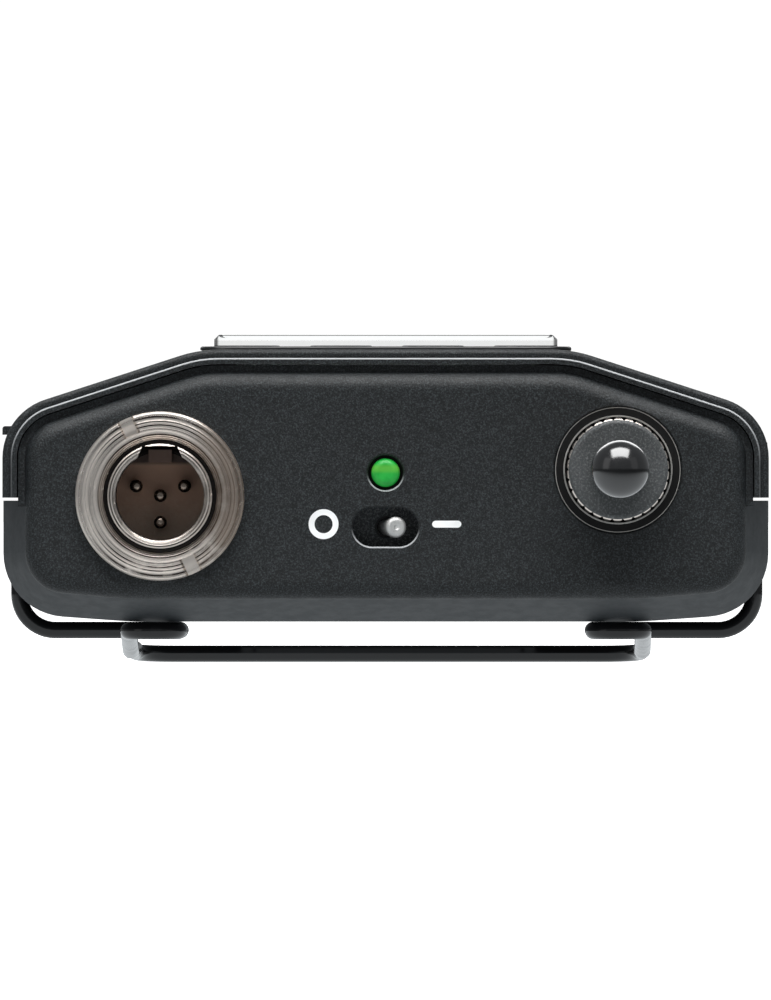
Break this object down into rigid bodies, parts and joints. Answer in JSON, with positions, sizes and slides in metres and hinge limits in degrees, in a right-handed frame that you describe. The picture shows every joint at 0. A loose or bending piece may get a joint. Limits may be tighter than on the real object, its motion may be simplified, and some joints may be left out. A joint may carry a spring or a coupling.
{
  "type": "wireless bodypack transmitter",
  "caption": "Belt-worn wireless microphone transmitter pack with round locking audio connector, whip antenna, status lamp, power toggle, display, keys, battery door and wire belt clip.",
  "frame": {"origin": "centre of the flat back face that rests against the wearer, midway between the connector panel and the base end", "axes": "+Z out of the display side, +Y towards the base end away from the connector panel, +X to the right when the connector panel is seen from its front with the display up"},
  "size_m": [0.0668, 0.17, 0.0284],
  "materials": {
    "cast_case": "fine speckled powder coat",
    "cover_paint": "fine textured powder coat",
    "spring_steel": "gloss black",
    "steel": "satin",
    "nickel": "turned nickel plate",
    "brass_gold": "plated",
    "brown_insulator": "satin moulding",
    "black_plastic": "satin",
    "base_plastic": "fine matt",
    "gloss_rubber": "glossy sleeve",
    "rubber": "matt",
    "clear_lens": "clear acrylic",
    "display": "liquid crystal",
    "white_plastic": "diffuse",
    "green_lamp": "tinted epoxy",
    "dark_window": "tinted window",
    "circuit_board": "solder mask",
    "chip": "moulded epoxy",
    "cell_wrap": "printed sleeve",
    "foam": "foam pad",
    "label": "blank foil label"
  },
  "bodies": {
    "pack": {"back_case": "cast_case", "front_cover": "cover_paint", "door_hinge_pin": "steel", "display_bezel": "black_plastic", "display_lens": "clear_lens", "lcd_module": "display", "lcd_backlight": "white_plastic", "key_membrane": "rubber", "infrared_window": "dark_window", "main_board": "circuit_board", "rf_board": "circuit_board", "panel_board": "circuit_board", "rf_shield": "steel", "board_chips": "chip", "board_link": "black_plastic", "board_screws": "steel", "case_screws": "spring_steel", "power_switch_body": "black_plastic", "power_switch_seal": "black_plastic", "status_lamp": "green_lamp", "lamp_leads": "steel", "socket_shell": "nickel", "socket_nut": "nickel", "socket_insert": "brown_insulator", "contact_pins": "nickel", "socket_gasket": "rubber", "antenna_jack": "brass_gold", "antenna_gasket": "rubber", "antenna_jack_nut": "nickel", "antenna_lead": "black_plastic", "clip_frame": "spring_steel", "battery_front": "cell_wrap", "battery_rear": "cell_wrap", "battery_cradle": "black_plastic", "battery_contacts": "nickel", "battery_springs": "nickel", "rating_label": "label"},
    "antenna": {"antenna_collar": "nickel", "antenna_base": "base_plastic", "antenna_whip": "gloss_rubber"},
    "switch_lever": {"power_switch_lever": "steel"},
    "back_key": {"back_key": "rubber"},
    "down_key": {"down_key": "rubber"},
    "up_key": {"up_key": "rubber"},
    "select_key": {"select_key": "rubber"},
    "door": {"battery_door": "cover_paint", "door_pad": "foam", "latch_spring_left": "steel", "latch_spring_right": "steel"},
    "latch_left": {"door_latch_left": "black_plastic"},
    "latch_right": {"door_latch_right": "black_plastic"},
    "clip_spring": {"clip_tongue": "spring_steel"}
  },
  "joints": [
    {"name": "antenna_turn", "type": "hinge", "parent": "pack", "child": "antenna", "pos_m": [0.02, -0.048, 0.0131], "axis": [0, -1, 0], "continuous": true},
    {"name": "power_switch", "type": "hinge", "parent": "pack", "child": "switch_lever", "pos_m": [0, -0.039, 0.00816], "axis": [0, 0, 1], "range_deg": [-27.8, 0]},
    {"name": "back_key_press", "type": "slide", "parent": "pack", "child": "back_key", "axis": [0, 0, -1], "range_m": [0, 0.0004], "stiffness_N_per_m": 800, "springref_m": -0.0002},
    {"name": "down_key_press", "type": "slide", "parent": "pack", "child": "down_key", "axis": [0, 0, -1], "range_m": [0, 0.0004], "stiffness_N_per_m": 800, "springref_m": -0.0002},
    {"name": "up_key_press", "type": "slide", "parent": "pack", "child": "up_key", "axis": [0, 0, -1], "range_m": [0, 0.0004], "stiffness_N_per_m": 800, "springref_m": -0.0002},
    {"name": "select_key_press", "type": "slide", "parent": "pack", "child": "select_key", "axis": [0, 0, -1], "range_m": [0, 0.0004], "stiffness_N_per_m": 800, "springref_m": -0.0002},
    {"name": "door_hinge", "type": "hinge", "parent": "pack", "child": "door", "pos_m": [0, 0.0413, 0.0124], "axis": [-1, 0, 0], "range_deg": [0, 90]},
    {"name": "left_latch_press", "type": "slide", "parent": "door", "child": "latch_left", "axis": [1, 0, 0], "range_m": [0, 0.0006], "stiffness_N_per_m": 1500, "springref_m": -0.0003, "deforming": ["latch_spring_left"]},
    {"name": "right_latch_press", "type": "slide", "parent": "door", "child": "latch_right", "axis": [-1, 0, 0], "range_m": [0, 0.0006], "stiffness_N_per_m": 1500, "springref_m": -0.0003, "deforming": ["latch_spring_right"]},
    {"name": "clip_flex", "type": "hinge", "parent": "pack", "child": "clip_spring", "pos_m": [0, -0.036, -0.0008], "axis": [-1, 0, 0], "range_deg": [0, 8], "stiffness_Nm_per_rad": 0.9, "springref_deg": -2.86}
  ]
}
